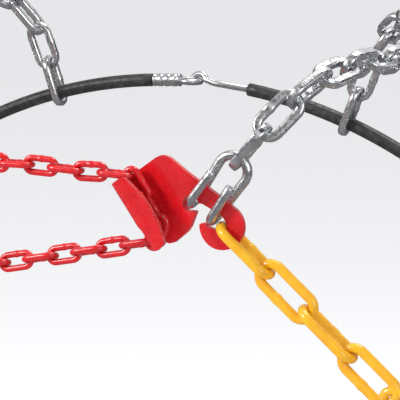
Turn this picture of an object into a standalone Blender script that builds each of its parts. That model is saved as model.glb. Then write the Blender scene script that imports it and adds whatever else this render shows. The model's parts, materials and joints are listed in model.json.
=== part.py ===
"""Diamond-net snow chain for one car wheel, in its mounted shape with the tire left out.

Metres. The wheel's centre is the origin and its axle lies along Y. The outer face looks along -Y.
Angles are in degrees round the axle, from +X towards +Z.
"""

import math

import bmesh
import bpy
from mathutils import Matrix, Vector

# Side chain: yellow round-wire links, five between one cross-chain hook and the next.
SIDE_WIRE = 0.0042
SIDE_WIDTH = 0.0145
SIDE_PITCH = 0.0237
SIDE_LINKS_PER_BAY = 5
SIDE_Y = -0.11125

# Cross chains: zinc-plated links of square wire.
CROSS_WIRE = 0.0036
CROSS_WIDTH = 0.0135
CROSS_PITCH = 0.0175

# Tension chain: small red links.
TENSION_WIRE = 0.0027
TENSION_WIDTH = 0.0086
TENSION_PITCH = 0.0113

GAP = 0.0003  # between touching pieces
HOOKS = 12  # cross-chain hooks on the side chain, the lock plate's included

# Lock plate, stamped from one sheet. Its own axes are f, down along the fold, and s, away from it.
PLATE_THICK = 0.0025
PLATE_CORNER = Vector((0.0672, -0.1085, 0.2305))  # fold's outer upper end, at the valley's mid-sheet
PLATE_TURN = 34.6  # slope of the s axis
FLAP_WIDTH = 0.0035
FLAP_BULGE = 0.0024  # of its free edge, half way down
FOLD_RADIUS = 0.0035  # mid-sheet
FOLD_HEIGHT = 0.0122  # valley to flap, mid-sheet
VALLEY_WIDTH = 0.005
ARM_RISE = 0.00275  # the arm stands this far in front of the valley
RISE_LENGTH = 0.014
FLAP_CORNER = 0.0025
FOLD_START = 0.0006
FOLD_END = 0.0334
EXIT_TOP = 0.0213  # where the notch that lets the tension chain out begins
HOOK_BAY = (0.0245, 0.0228)  # f, s of the hollow that the double hook's first bend lies in
HOOK_BAY_RADIUS = 0.0034
BODY_EDGE = [(0.0281, 0.0228), (0.0290, 0.0223), (0.0322, 0.0167), (0.0334, 0.0110)]  # f, s below that hollow
HEAD_CENTRE = (0.0393, 0.0290)  # f, s
HEAD_RADIUS = 0.0096
SLOT_CENTRE_S = 0.0287
SLOT_END_F = 0.0415

# Double hook: one wire bent to a U, with both ends turned forward round the plate's arm.
HOOK_WIRE = 0.0040
HOOK_SPREAD = 0.0112  # between its two bends
HOOK_TIP_SPREAD = 0.0098  # between the prongs' ends
HOOK_BOW = 0.0066  # radius of the U
HOOK_SEAT = (0.02975, 0.0244)  # f, s of the middle of its two bends
HOOK_LEAN = 20.2  # slope of its legs against the plate's s axis
HOOK_BACK_Y = -0.1075
HOOK_FRONT_Y = -0.1150
HOOK_LENGTH = 0.0273  # bend to the top of the U, wire centre to wire centre
PRONG_LENGTH = 0.0175

# Path of a cross chain over the tire, as (radius, distance from the tire's middle plane).
SHOULDER = ((0.2674, 0.1075), (0.2860, 0.1095), (0.3000, 0.1045), (0.3105, 0.0935),
            (0.3170, 0.0780), (0.3195, 0.0550), (0.3200, 0.0))
JUNCTION = 2  # the place in SHOULDER where two diagonals meet
FIRST_NODE_LEAD = 2.5  # the end cross chains are pulled this far towards the net
LAST_NODE_LEAD = 3.6
FIRST_CHAIN_EASE = 1.75  # above the lock plate that pull shows mostly on the sidewall
INNER_END_LAG = 6.0

STRAND_RADIUS = 0.0026  # plain bars that stand for the far cross chains
RING_RADIUS = 0.0090
RING_WIRE = 0.0038
RING_BITE = 0.0004  # a bar that carries a ring reaches this far past the middle of its wire
CABLE_RADIUS = 0.0033
CABLE_RING_RADIUS = 0.2490
CABLE_Y = 0.1130
CABLE_END_ANGLE = 6.0  # from the closing fitting's middle to each end of the cable
FITTING_WIRE = 0.0032
EYE_RADIUS = 0.0055
EYE_PLACE = 0.0060  # its middle, from the fitting's middle
CABLE_HOOK_RADIUS = 0.0042
CABLE_HOOK_PLACE = 0.0010

VISIBLE_SIDE_LINKS = 4
VISIBLE_CROSS_LINKS = 7
LOWER_LINKS = 7
# Where tension links meet in the plate, as (f, s): turning into the channel, down it, and out of the notch.
CHANNEL_MEETINGS = ((-0.0071, -0.0032), (0.0017, 0.0081), (0.0100, 0.0080), (0.0243, 0.0078), (0.0290, 0.0010))
UPPER_SLOPES = (0.0, 4.0, 3.0, 0.5, -1.0)  # of each upper link against level, plate first
LOWER_SLOPE = 11.2
LOWER_ROLL = 14.0
END_HOOK_SHARE = 0.15  # of the side chain's second last bay, where the tension chain's end hook grips
END_HOOK_WIRE = 0.0040
END_HOOK_SLACK = 0.0015  # it grips the side chain at a slant
END_HOOK_STEM = 0.020
UPPER_RUN_ANGLE = 101  # where the tension chain's upper run passes half way between its two ends

OUT = Vector((0, -1, 0))


def clear_scene():
    for obj in list(bpy.data.objects):
        bpy.data.objects.remove(obj, do_unlink=True)


def new_collection(name, helper=False):
    collection = bpy.data.collections.new(name)
    bpy.context.scene.collection.children.link(collection)
    collection.hide_render = helper
    return collection


def finish(name, colour, roughness, metallic):
    material = bpy.data.materials.new(name)
    material.use_nodes = True
    shader = material.node_tree.nodes["Principled BSDF"]
    shader.inputs["Base Color"].default_value = (*colour, 1)
    shader.inputs["Roughness"].default_value = roughness
    shader.inputs["Metallic"].default_value = metallic
    material.diffuse_color = (*colour, 1)
    return material


def on_wheel(radius, angle, y):
    return Vector((radius * math.cos(math.radians(angle)), y, radius * math.sin(math.radians(angle))))


# ---------------------------------------------------------------- wires

def wire_curve(name, points, radius, closed=False, smooth=True):
    curve = bpy.data.curves.new(name, "CURVE")
    curve.dimensions = "3D"
    curve.bevel_depth = radius
    curve.bevel_resolution = 2
    curve.use_fill_caps = not closed
    spline = curve.splines.new("POLY")
    spline.points.add(len(points) - 1)
    for point, place in zip(spline.points, points):
        point.co = (*place, 1)
    spline.use_cyclic_u = closed
    spline.use_smooth = smooth
    return curve


def wire(name, points, radius, material, closed=False):
    """A round wire or tube along the points, as its own node."""
    obj = bpy.data.objects.new(name, wire_curve(name, points, radius, closed))
    obj.data.materials.append(material)
    NODES.objects.link(obj)
    return obj


def wire_mesh(name, points, radius, collection, closed=False):
    """The same as a mesh, which a Boolean can join."""
    temporary = bpy.data.objects.new(name, wire_curve(name, points, radius, closed))
    bpy.context.scene.collection.objects.link(temporary)
    bpy.context.view_layer.update()
    graph = bpy.context.evaluated_depsgraph_get()
    mesh = bpy.data.meshes.new_from_object(temporary.evaluated_get(graph))
    bpy.data.objects.remove(temporary, do_unlink=True)
    body = bmesh.new()
    body.from_mesh(mesh)
    bmesh.ops.remove_doubles(body, verts=body.verts, dist=1e-6)
    bmesh.ops.recalc_face_normals(body, faces=body.faces)
    body.to_mesh(mesh)
    body.free()
    obj = bpy.data.objects.new(name, mesh)
    collection.objects.link(obj)
    return obj


def joined_wires(name, wires, material):
    """One node from wires that meet. Each wire is (points, radius, closed)."""
    (points, radius, closed), *others = wires
    obj = wire_mesh(name, points, radius, NODES, closed)
    obj.data.materials.append(material)
    for number, (points, radius, closed) in enumerate(others):
        helper = wire_mesh(f"{name}_piece_{number}", points, radius, HELPERS, closed)
        helper.hide_render = True
        helper.display_type = "WIRE"
        union = obj.modifiers.new("Join", "BOOLEAN")
        union.operation = "UNION"
        union.solver = "EXACT"
        union.object = helper
    return obj


def arc(centre, across, along, radius, start, end, steps):
    """Points on an arc. Angle 0 points along 'across' and 90 along 'along'."""
    points = []
    for step in range(steps + 1):
        angle = math.radians(start + (end - start) * step / steps)
        points.append(centre + radius * (math.cos(angle) * across + math.sin(angle) * along))
    return points


# ---------------------------------------------------------------- chain links

def link_axes(start, end, face, roll):
    """Along the link, across its flat side and out of that side, which faces 'face' turned by roll degrees."""
    along = (end - start).normalized()
    side = face.cross(along).normalized()
    turned = Matrix.Rotation(math.radians(roll), 3, along)
    return along, turned @ side, turned @ along.cross(side)


def link_node(name, start, end, reach, roll, face, wire_size, width, material):
    """One link between two meetings. Its wire's centre line goes 'reach' past each of them."""
    bow = (width - wire_size) / 2
    x_axis, y_axis = Vector((1, 0, 0)), Vector((0, 1, 0))
    near, far = (half_reach + (end - start).length / 2 - bow for half_reach in reach)
    points = arc(far * x_axis, x_axis, y_axis, bow, -90, 90, 5)
    points += arc(-near * x_axis, x_axis, y_axis, bow, 90, 270, 5)
    obj = wire(name, points, wire_size / 2, material, closed=True)
    turn = Matrix(link_axes(start, end, face, roll)).transposed().to_4x4()
    obj.matrix_world = Matrix.Translation((start + end) / 2) @ turn
    return obj


def over_tire_face(start, end):
    """The way out of the tire, for a link that crosses it."""
    middle = (start + end) / 2
    around = Vector((middle.x, 0, middle.z)).cross(OUT)
    return around.cross(end - start)


def pitches(pitch, wire_size, count, pivot_first):
    """Distances between meetings. A pivot link's wire centres lie on the meetings and its neighbours reach past."""
    longer = pitch + wire_size + GAP
    return [longer if (number % 2 == 0) == pivot_first else 2 * pitch - longer for number in range(count)]


def meetings_along(path, steps):
    """Points on the path, each a straight step from the one before."""
    found = [path[0].copy()]
    piece = 0
    for step in steps:
        while (path[piece + 1] - found[-1]).length < step:
            piece += 1
        low = found[-1] if (path[piece] - found[-1]).length < 1e-9 else path[piece]
        high = path[piece + 1]
        for _ in range(40):
            middle = (low + high) / 2
            if (middle - found[-1]).length < step:
                low = middle
            else:
                high = middle
        found.append(high)
    return found


# ---------------------------------------------------------------- lock plate

TURN = math.radians(PLATE_TURN)
PLATE_S = Vector((math.cos(TURN), 0, math.sin(TURN)))
PLATE_F = Vector((math.sin(TURN), 0, -math.cos(TURN)))
FOLD_QUARTER = math.pi / 2 * FOLD_RADIUS
WEB_WIDTH = FOLD_HEIGHT - 2 * FOLD_RADIUS
VALLEY_LENGTH = FLAP_WIDTH + 2 * FOLD_QUARTER + WEB_WIDTH  # along the sheet, up to the valley
VALLEY_S = PLATE_THICK / 2 + FOLD_RADIUS


def on_plate(f, s, out):
    """A place given on the plate's axes, out from the valley's mid-sheet."""
    return PLATE_CORNER + PLATE_F * f + PLATE_S * s + OUT * out


def bent(length):
    """Where the sheet lies, as (s, out), at a length along it from the flap's free edge."""
    if length < FLAP_WIDTH:
        return VALLEY_S + FLAP_WIDTH - length, FOLD_HEIGHT
    length -= FLAP_WIDTH
    if length < FOLD_QUARTER:
        angle = length / FOLD_RADIUS
        return VALLEY_S - FOLD_RADIUS * math.sin(angle), FOLD_HEIGHT - FOLD_RADIUS * (1 - math.cos(angle))
    length -= FOLD_QUARTER
    if length < WEB_WIDTH:
        return VALLEY_S - FOLD_RADIUS, FOLD_HEIGHT - FOLD_RADIUS - length
    length -= WEB_WIDTH
    if length < FOLD_QUARTER:
        angle = length / FOLD_RADIUS
        return VALLEY_S - FOLD_RADIUS * math.cos(angle), FOLD_RADIUS * (1 - math.sin(angle))
    length -= FOLD_QUARTER
    share = min(max((length - VALLEY_WIDTH) / RISE_LENGTH, 0), 1)
    return VALLEY_S + length, ARM_RISE * share * share * (3 - 2 * share)


def flat_length(s):
    return VALLEY_LENGTH + s - VALLEY_S


def rounded(f, s, radius, start, end, steps=4):
    """A corner of the outline as an arc about (f, s). Angle 0 points along f and 90 along s."""
    points = arc(Vector((f, s, 0)), Vector((1, 0, 0)), Vector((0, 1, 0)), radius, start, end, steps)
    return [(point.x, point.y) for point in points]


def head_outline():
    """The hook's round head and the slot that the side chain's end link sits in, from the arm's outer edge."""
    f, s = HEAD_CENTRE
    slot_radius = (SIDE_WIRE + 6 * GAP) / 2
    slot_f = SLOT_END_F - slot_radius
    points = rounded(f, s, HEAD_RADIUS, 105, -128, 14)
    points += rounded(0.0352, 0.0222, 0.0015, -160, -290, 4)
    points += rounded(slot_f, SLOT_CENTRE_S, slot_radius, -90, 90, 6)
    return points


def body_outline():
    """The plate right of the fold, from the top of the valley round to its bottom, as (f, s)."""
    points = rounded(0.0072, 0.0200, 0.0064, 180, 115, 4)
    points += [(0.0127, 0.0287), (0.0185, 0.0310), (0.0283, 0.0352)]
    points += head_outline()
    points += [(0.0345, 0.0316), (0.0320, 0.0298), (0.0272, 0.0271)]
    points += rounded(HOOK_BAY[0], HOOK_BAY[1], HOOK_BAY_RADIUS, 60, 300, 8)
    points += BODY_EDGE
    return points


def plate_outline():
    """The flat blank as (f, length along the sheet)."""
    lip = FLAP_WIDTH + 0.45 * FOLD_QUARTER
    far_lip = VALLEY_LENGTH - 0.4 * FOLD_QUARTER
    outline = [(f, flat_length(s)) for f, s in body_outline()]
    outline += [(FOLD_END + 0.0004, far_lip + 0.004), (FOLD_END - 0.002, far_lip)]
    outline += [(EXIT_TOP + 0.002, far_lip), (EXIT_TOP, far_lip - 0.002)]
    outline += [(EXIT_TOP, lip + 0.002), (EXIT_TOP + 0.002, lip)]
    outline += [(FOLD_END - 0.0015, lip), (FOLD_END, lip - 0.0015)]
    corner = FLAP_CORNER
    outline += rounded(FOLD_END - corner, corner, corner, 0, -90, 3)
    for step in range(1, 6):
        share = step / 6
        f = FOLD_END - corner + (FOLD_START + 2 * corner - FOLD_END) * share
        outline.append((f, -FLAP_BULGE * math.sin(math.pi * share)))
    outline += rounded(FOLD_START + corner, corner, corner, 270, 180, 3)
    return outline


def lock_plate():
    curve = bpy.data.curves.new("lock_plate_blank", "CURVE")
    curve.dimensions = "2D"
    curve.fill_mode = "BOTH"
    spline = curve.splines.new("POLY")
    outline = plate_outline()
    spline.points.add(len(outline) - 1)
    for point, place in zip(spline.points, outline):
        point.co = (*place, 0, 1)
    spline.use_cyclic_u = True
    blank = bpy.data.objects.new("lock_plate_blank", curve)
    bpy.context.scene.collection.objects.link(blank)
    bpy.context.view_layer.update()
    mesh = bpy.data.meshes.new_from_object(blank.evaluated_get(bpy.context.evaluated_depsgraph_get()))
    bpy.data.objects.remove(blank, do_unlink=True)

    sheet = bmesh.new()
    sheet.from_mesh(mesh)
    bmesh.ops.remove_doubles(sheet, verts=sheet.verts, dist=1e-6)
    creases = [FLAP_WIDTH + FOLD_QUARTER * step / 4 for step in range(5)]
    creases += [FLAP_WIDTH + FOLD_QUARTER + WEB_WIDTH + FOLD_QUARTER * step / 4 for step in range(5)]
    creases += [VALLEY_LENGTH + VALLEY_WIDTH + RISE_LENGTH * step / 5 for step in range(6)]
    for crease in creases:
        everything = sheet.verts[:] + sheet.edges[:] + sheet.faces[:]
        bmesh.ops.bisect_plane(sheet, geom=everything, dist=1e-7, plane_co=(0, crease, 0), plane_no=(0, 1, 0))
    for vert in sheet.verts:
        s, out = bent(vert.co.y)
        vert.co = (vert.co.x, s, out)
    bmesh.ops.recalc_face_normals(sheet, faces=sheet.faces)
    sheet.to_mesh(mesh)
    sheet.free()

    plate = bpy.data.objects.new("lock_plate", mesh)
    mesh.materials.append(RED)
    NODES.objects.link(plate)
    thickness = plate.modifiers.new("Sheet thickness", "SOLIDIFY")
    thickness.thickness = PLATE_THICK
    thickness.offset = 0
    thickness.use_even_offset = True

    rock = bpy.data.objects.new("lock_plate_rock_axis", None)
    rock.location = SLOT_PLACE
    NODES.objects.link(rock)
    plate.parent = rock
    turn = Matrix((PLATE_F, PLATE_S, OUT)).transposed().to_4x4()
    plate.matrix_parent_inverse = Matrix.Translation(-SLOT_PLACE)
    plate.matrix_basis = Matrix.Translation(PLATE_CORNER) @ turn
    return plate


SLOT_PLACE = on_plate(SLOT_END_F - SIDE_WIRE / 2 - 2 * GAP, SLOT_CENTRE_S, ARM_RISE)


# ---------------------------------------------------------------- double hook

HOOK_TURN = math.radians(PLATE_TURN + HOOK_LEAN)
HOOK_UP = Vector((math.cos(HOOK_TURN), 0, math.sin(HOOK_TURN)))
HOOK_ACROSS = Vector((math.sin(HOOK_TURN), 0, -math.cos(HOOK_TURN)))


def half_hook(side, bend, up, across, back):
    """From a prong's end round its bend and up to the top of the U, on one side (-1 or 1) of the middle."""
    start = HOOK_SPREAD / 2 * side * across
    points = [HOOK_TIP_SPREAD / 2 * side * across + up * (PRONG_LENGTH - bend) - back * bend]
    points += arc(start, -back, -up, bend, 0, 180, 10)
    bow_middle = up * (HOOK_LENGTH - bend - HOOK_BOW) + back * bend
    return points + arc(bow_middle, side * across, up, HOOK_BOW, 0, 90, 4)


def double_hook():
    bend = abs(HOOK_FRONT_Y - HOOK_BACK_Y) / 2
    middle_y = (HOOK_FRONT_Y + HOOK_BACK_Y) / 2
    up, across, back = Vector((1, 0, 0)), Vector((0, 1, 0)), Vector((0, 0, 1))
    left, right = (half_hook(side, bend, up, across, back) for side in (-1, 1))
    hook = wire("double_hook", left + right[-2::-1], HOOK_WIRE / 2, ZINC)
    seat = on_plate(HOOK_SEAT[0], HOOK_SEAT[1], 0)
    seat.y = middle_y
    turn = Matrix((HOOK_UP, HOOK_ACROSS, HOOK_UP.cross(HOOK_ACROSS))).transposed().to_4x4()
    hook.matrix_world = Matrix.Translation(seat + HOOK_UP * bend) @ turn
    return hook


def hook_top():
    """The wire's centre at the top of the U, which the first cross-chain link goes round."""
    seat = on_plate(HOOK_SEAT[0], HOOK_SEAT[1], 0)
    place = seat + HOOK_UP * HOOK_LENGTH
    place.y = HOOK_BACK_Y
    return place


# ---------------------------------------------------------------- layout of the net

SIDE_RADIUS = math.hypot(SLOT_PLACE.x, SLOT_PLACE.z)
SIDE_ANGLE = math.degrees(math.atan2(SLOT_PLACE.z, SLOT_PLACE.x))
BAY = 2 * math.degrees(math.asin(SIDE_LINKS_PER_BAY * SIDE_PITCH / 2 / SIDE_RADIUS))
HOOK_ANGLES = [SIDE_ANGLE - BAY * number for number in range(HOOKS)]
CROSS_START = hook_top()
CROSS_ANGLE = math.degrees(math.atan2(CROSS_START.z, CROSS_START.x))


def node_angles():
    """Where the diagonals meet on the tread, from beside the lock plate round to the last hook."""
    angles = [HOOK_ANGLES[0] - FIRST_NODE_LEAD]
    angles += [angle - BAY / 2 for angle in HOOK_ANGLES[1:-2]]
    return angles + [HOOK_ANGLES[-1] + LAST_NODE_LEAD]


NODE_ANGLES = node_angles()


def over_tire(start_angle, end_angle, first, side, steps=3, ease=1):
    """Places from SHOULDER's row 'first' up to the tread's middle, on the outer (-1) or inner (1) side.

    An ease above 1 turns most of the way from the start angle early on.
    """
    rows = SHOULDER[first:]
    lengths = [0.0]
    for (r0, y0), (r1, y1) in zip(rows, rows[1:]):
        lengths.append(lengths[-1] + math.hypot(r1 - r0, y1 - y0))
    places = []
    for number in range(len(rows) - 1):
        pieces = steps if number == len(rows) - 2 else 1
        for piece in range(pieces):
            share = piece / pieces
            radius = rows[number][0] + (rows[number + 1][0] - rows[number][0]) * share
            y = rows[number][1] + (rows[number + 1][1] - rows[number][1]) * share
            gone = (lengths[number] + (lengths[number + 1] - lengths[number]) * share) / lengths[-1]
            turned = 1 - (1 - gone) ** ease
            places.append(on_wheel(radius, start_angle + (end_angle - start_angle) * turned, side * y))
    places.append(on_wheel(rows[-1][0], end_angle, 0))
    return places


def stopped_at_ring(places, into=False):
    """The path cut back where it meets the ring at its end: in the ring's wire, or a gap short of it."""
    reach = RING_RADIUS - RING_BITE if into else RING_RADIUS + RING_WIRE / 2 + GAP
    end = places[-1]
    kept = [place for place in places if (place - end).length > reach + STRAND_RADIUS / 2]
    direction = (kept[-1] - end).normalized()
    return kept + [end + direction * reach]


def ring_places(angle):
    centre = on_wheel(SHOULDER[-1][0], angle, 0)
    out = centre.normalized()
    across = Vector((0, 1, 0))
    return arc(centre, across, out.cross(across), RING_RADIUS, 0, 330, 11)


def side_tail(angle, side):
    """From the junction on the shoulder down to the side chain or the inner cable."""
    if side < 0:
        radius, y = SIDE_RADIUS + SIDE_WIRE / 2 + STRAND_RADIUS + 2 * GAP, SIDE_Y
    else:
        radius, y = CABLE_RING_RADIUS + CABLE_RADIUS + GAP, CABLE_Y
    rows = SHOULDER[:JUNCTION + 1][::-1]
    places = [on_wheel(row_radius, angle, side * row_y) for row_radius, row_y in rows]
    return places + [on_wheel(radius, angle, y)]


def cross_strand(name, hook_angle, side, nodes, ring=None, into=None):
    """A plain bar for each cross chain that leaves one hook, with the tread ring that it carries."""
    wires = []
    paths = [over_tire(hook_angle, node, JUNCTION, side) for node in nodes]
    paths = [stopped_at_ring(path, node == into) for path, node in zip(paths, nodes)]
    if len(paths) == 2:
        wires.append((paths[0][::-1] + paths[1][1:], STRAND_RADIUS, False))
        wires.append((side_tail(hook_angle, side), STRAND_RADIUS, False))
    else:
        wires.append((side_tail(hook_angle, side)[::-1] + paths[0][1:], STRAND_RADIUS, False))
    if ring is not None:
        wires.append((ring_places(ring), RING_WIRE / 2, True))
    return joined_wires(name, wires, ZINC)


# ---------------------------------------------------------------- the pieces

def side_chain():
    """The links beside the lock plate one by one, and a plain bar for the rest of the side chain."""
    corners = [on_wheel(SIDE_RADIUS, angle, SIDE_Y) for angle in HOOK_ANGLES]
    reach = SIDE_WIRE + GAP
    meetings = meetings_along(corners, pitches(SIDE_PITCH, SIDE_WIRE, VISIBLE_SIDE_LINKS, True))
    for number in range(VISIBLE_SIDE_LINKS):
        pivot = number % 2 == 0
        link_node(f"side_link_{number + 1}", meetings[number], meetings[number + 1],
                  (0, 0) if pivot else (reach, reach), 90 if pivot else 0, OUT, SIDE_WIRE, SIDE_WIDTH, YELLOW)
    past = (corners[1] - meetings[-1]).normalized() * (reach + SIDE_WIRE / 2 + GAP)
    wire("side_chain_rest", [meetings[-1] + past] + corners[1:], SIDE_WIRE / 2, YELLOW)


def first_cross_chain():
    """The cross chain above the lock plate: single links, then a plain bar to the first ring on the tread."""
    places = over_tire(CROSS_ANGLE, NODE_ANGLES[0], 0, -1, 6, FIRST_CHAIN_EASE)
    places[0] = CROSS_START
    reach = CROSS_WIRE + GAP
    hook_reach = (HOOK_WIRE + CROSS_WIRE) / 2 + GAP
    steps = pitches(CROSS_PITCH, CROSS_WIRE, VISIBLE_CROSS_LINKS, False)
    meetings = meetings_along(places, steps)
    for number in range(VISIBLE_CROSS_LINKS):
        start, end = meetings[number], meetings[number + 1]
        pivot = number % 2 == 1
        both = (0, 0) if pivot else (hook_reach if number == 0 else reach, reach)
        link_node(f"cross_link_{number + 1}", start, end, both, 0 if pivot else 90,
                  over_tire_face(start, end), CROSS_WIRE, CROSS_WIDTH, ZINC)
    last = meetings[-1]
    direction = (places[-1] - last).normalized()
    past = both[1] + CROSS_WIRE / 2 + GAP
    rest = stopped_at_ring([last + direction * past, places[-1]])
    wire("cross_chain_1_rest", rest, CROSS_WIRE / 2, ZINC)


def far_cross_chains():
    """Outer and inner halves of the net, each node with the ring at its own end."""
    for number in range(1, HOOKS - 1):
        nodes = (NODE_ANGLES[number - 1], NODE_ANGLES[number])
        cross_strand(f"outer_cross_{number + 1}", HOOK_ANGLES[number], -1, nodes)
        cross_strand(f"inner_cross_{number + 1}", HOOK_ANGLES[number], 1, nodes, nodes[0], nodes[0])
    last = NODE_ANGLES[-1]
    cross_strand(f"outer_cross_{HOOKS}", HOOK_ANGLES[-1], -1, (last,))
    cross_strand(f"inner_cross_{HOOKS}", HOOK_ANGLES[-1] - INNER_END_LAG, 1, (last,), last, last)
    cross_strand("inner_cross_1", HOOK_ANGLES[0] + INNER_END_LAG, 1, (NODE_ANGLES[0],))


def tension_meetings():
    """Where tension links meet: in the plate, and along the upper and lower runs, both away from it."""
    through = [on_plate(f, s, FOLD_HEIGHT / 2) for f, s in CHANNEL_MEETINGS]
    upper, lower = [through[0]], [through[-1]]
    for step, slope in zip(pitches(TENSION_PITCH, TENSION_WIRE, len(UPPER_SLOPES), False), UPPER_SLOPES):
        angle = math.radians(180 - slope)
        upper.append(upper[-1] + step * Vector((math.cos(angle), 0, math.sin(angle))))
    angle = math.radians(180 + LOWER_SLOPE)
    for step in pitches(TENSION_PITCH, TENSION_WIRE, LOWER_LINKS, True):
        lower.append(lower[-1] + step * Vector((math.cos(angle), 0, math.sin(angle))))
    return upper, through, lower


def tension_run(name, meetings, pivot_first, roll):
    reach = TENSION_WIRE + GAP
    for number, (start, end) in enumerate(zip(meetings, meetings[1:])):
        pivot = (number % 2 == 0) == pivot_first
        link_node(f"{name}_{number + 1}", start, end, (0, 0) if pivot else (reach, reach),
                  roll + (90 if pivot else 0), OUT, TENSION_WIRE, TENSION_WIDTH, RED)


def past_last_link(meetings, reach):
    """Where a plain bar may begin after the last link."""
    direction = (meetings[-1] - meetings[-2]).normalized()
    return meetings[-1] + direction * (reach + TENSION_WIRE / 2 + GAP)


def tension_chain():
    upper, through, lower = tension_meetings()
    tension_run("tension_upper", upper, False, 0)
    tension_run("tension_plate", through, True, 0)
    tension_run("tension_lower", lower, True, LOWER_ROLL)

    end = on_wheel(SIDE_RADIUS, HOOK_ANGLES[-1], SIDE_Y)
    start = past_last_link(upper, TENSION_WIRE + GAP)
    middle = on_wheel((SIDE_RADIUS + math.hypot(start.x, start.z)) / 2, UPPER_RUN_ANGLE, SIDE_Y)
    stop = end + (middle - end).normalized() * (SIDE_WIRE / 2 + TENSION_WIRE / 2 + GAP)
    wire("tension_upper_rest", [start, middle, stop], TENSION_WIRE / 2, RED)

    start = past_last_link(lower, 0)
    near, far = (on_wheel(SIDE_RADIUS, HOOK_ANGLES[number], SIDE_Y) for number in (-2, -3))
    grip = near.lerp(far, END_HOOK_SHARE)
    inward = start - grip
    inward.y = 0
    inward.normalize()
    curl_radius = SIDE_WIRE / 2 + END_HOOK_WIRE / 2 + END_HOOK_SLACK
    curl = arc(grip, inward, OUT, curl_radius, -30, 200, 8)
    stem = grip + inward * (curl_radius + END_HOOK_STEM)
    wire("end_hook", [stem] + curl, END_HOOK_WIRE / 2, ZINC)
    direction = (stem - start).normalized()
    wire("tension_lower_rest", [start, stem - direction * (END_HOOK_WIRE / 2 + GAP)], TENSION_WIRE / 2, RED)


def inner_cable():
    """The steel cable that closes the inner side, with an eye and a hook at its ends."""
    closing = (HOOK_ANGLES[0] + HOOK_ANGLES[-1] + 360) / 2
    count = 48
    span = 360 - 2 * CABLE_END_ANGLE
    turns = [closing + CABLE_END_ANGLE + span * step / count for step in range(count + 1)]
    wire("inner_cable", [on_wheel(CABLE_RING_RADIUS, angle, CABLE_Y) for angle in turns], CABLE_RADIUS, CABLE)

    centre = on_wheel(CABLE_RING_RADIUS, closing, CABLE_Y)
    out = centre.normalized()
    across = Vector((0, 1, 0))
    along = out.cross(across)
    fitting_angle = CABLE_END_ANGLE - math.degrees(GAP / CABLE_RING_RADIUS)
    ferrule = [on_wheel(CABLE_RING_RADIUS, closing + fitting_angle, CABLE_Y)]
    ferrule.append(centre + along * (EYE_PLACE + EYE_RADIUS))
    eye = arc(centre + along * EYE_PLACE, along, across, EYE_RADIUS, 0, 330, 11)
    joined_wires("cable_eye", [(ferrule, CABLE_RADIUS, False), (eye, FITTING_WIRE / 2, True)], ZINC)

    hook = [on_wheel(CABLE_RING_RADIUS, closing - fitting_angle, CABLE_Y)]
    hook.append(centre - along * 2 * CABLE_HOOK_RADIUS)
    hook += arc(centre + along * CABLE_HOOK_PLACE, -along, out, CABLE_HOOK_RADIUS, 20, 200, 7)
    wire("cable_hook", hook, FITTING_WIRE / 2, ZINC)


clear_scene()
NODES = new_collection("tire_snow_chain")
HELPERS = new_collection("joining_pieces", helper=True)
RED = finish("red_paint", (0.68, 0.015, 0.02), 0.3, 0.0)
YELLOW = finish("yellow_coating", (0.95, 0.38, 0.02), 0.35, 0.0)
ZINC = finish("zinc_plate", (0.72, 0.73, 0.74), 0.3, 1.0)
CABLE = finish("coated_cable", (0.04, 0.04, 0.045), 0.5, 0.0)

lock_plate()
double_hook()
side_chain()
first_cross_chain()
tension_chain()
far_cross_chains()
inner_cable()
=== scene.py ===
"""The looks of the tire snow chain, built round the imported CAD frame. Metres; the wheel's axle is Y."""

import json
import math

import bmesh
import bpy
import numpy as np
from mathutils import Matrix, Vector


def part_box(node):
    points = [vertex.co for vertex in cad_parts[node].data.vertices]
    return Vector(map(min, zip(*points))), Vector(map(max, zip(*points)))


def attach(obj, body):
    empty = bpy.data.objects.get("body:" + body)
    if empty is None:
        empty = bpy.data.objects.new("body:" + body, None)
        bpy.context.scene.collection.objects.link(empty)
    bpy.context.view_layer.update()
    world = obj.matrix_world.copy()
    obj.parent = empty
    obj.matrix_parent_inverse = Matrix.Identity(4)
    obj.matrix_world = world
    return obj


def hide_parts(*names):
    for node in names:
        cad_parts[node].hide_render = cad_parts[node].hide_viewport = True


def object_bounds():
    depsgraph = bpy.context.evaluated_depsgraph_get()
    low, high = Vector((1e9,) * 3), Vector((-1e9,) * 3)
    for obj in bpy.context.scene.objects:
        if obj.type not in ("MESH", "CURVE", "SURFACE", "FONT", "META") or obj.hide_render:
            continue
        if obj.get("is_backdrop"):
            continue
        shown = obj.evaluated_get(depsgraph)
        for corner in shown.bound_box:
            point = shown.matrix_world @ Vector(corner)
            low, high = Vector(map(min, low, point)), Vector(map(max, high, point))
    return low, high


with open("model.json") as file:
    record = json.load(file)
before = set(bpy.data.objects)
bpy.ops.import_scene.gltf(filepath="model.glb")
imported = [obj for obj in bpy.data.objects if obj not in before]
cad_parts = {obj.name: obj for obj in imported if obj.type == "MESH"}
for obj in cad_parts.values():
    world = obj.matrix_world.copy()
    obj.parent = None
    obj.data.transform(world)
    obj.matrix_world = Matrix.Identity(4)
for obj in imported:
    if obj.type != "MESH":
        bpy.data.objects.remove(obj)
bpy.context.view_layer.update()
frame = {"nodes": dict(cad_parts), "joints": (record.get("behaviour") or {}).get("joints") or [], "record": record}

NODES = frame["nodes"]
BODY_OF = {node: body for body, nodes in frame["record"]["behaviour"]["bodies"].items() for node in nodes}
OUT = Vector((0, -1, 0))
GAP = 0.0003
WELD_SWELL = 0.10

# Wire sizes and outer widths of the three chains.
SIDE_WIRE, SIDE_WIDTH, SIDE_PITCH = 0.0042, 0.0145, 0.0237
CROSS_WIRE, CROSS_WIDTH, CROSS_PITCH = 0.0036, 0.0135, 0.0175
TENSION_WIRE, TENSION_WIDTH, TENSION_PITCH = 0.0027, 0.0086, 0.0113

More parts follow.
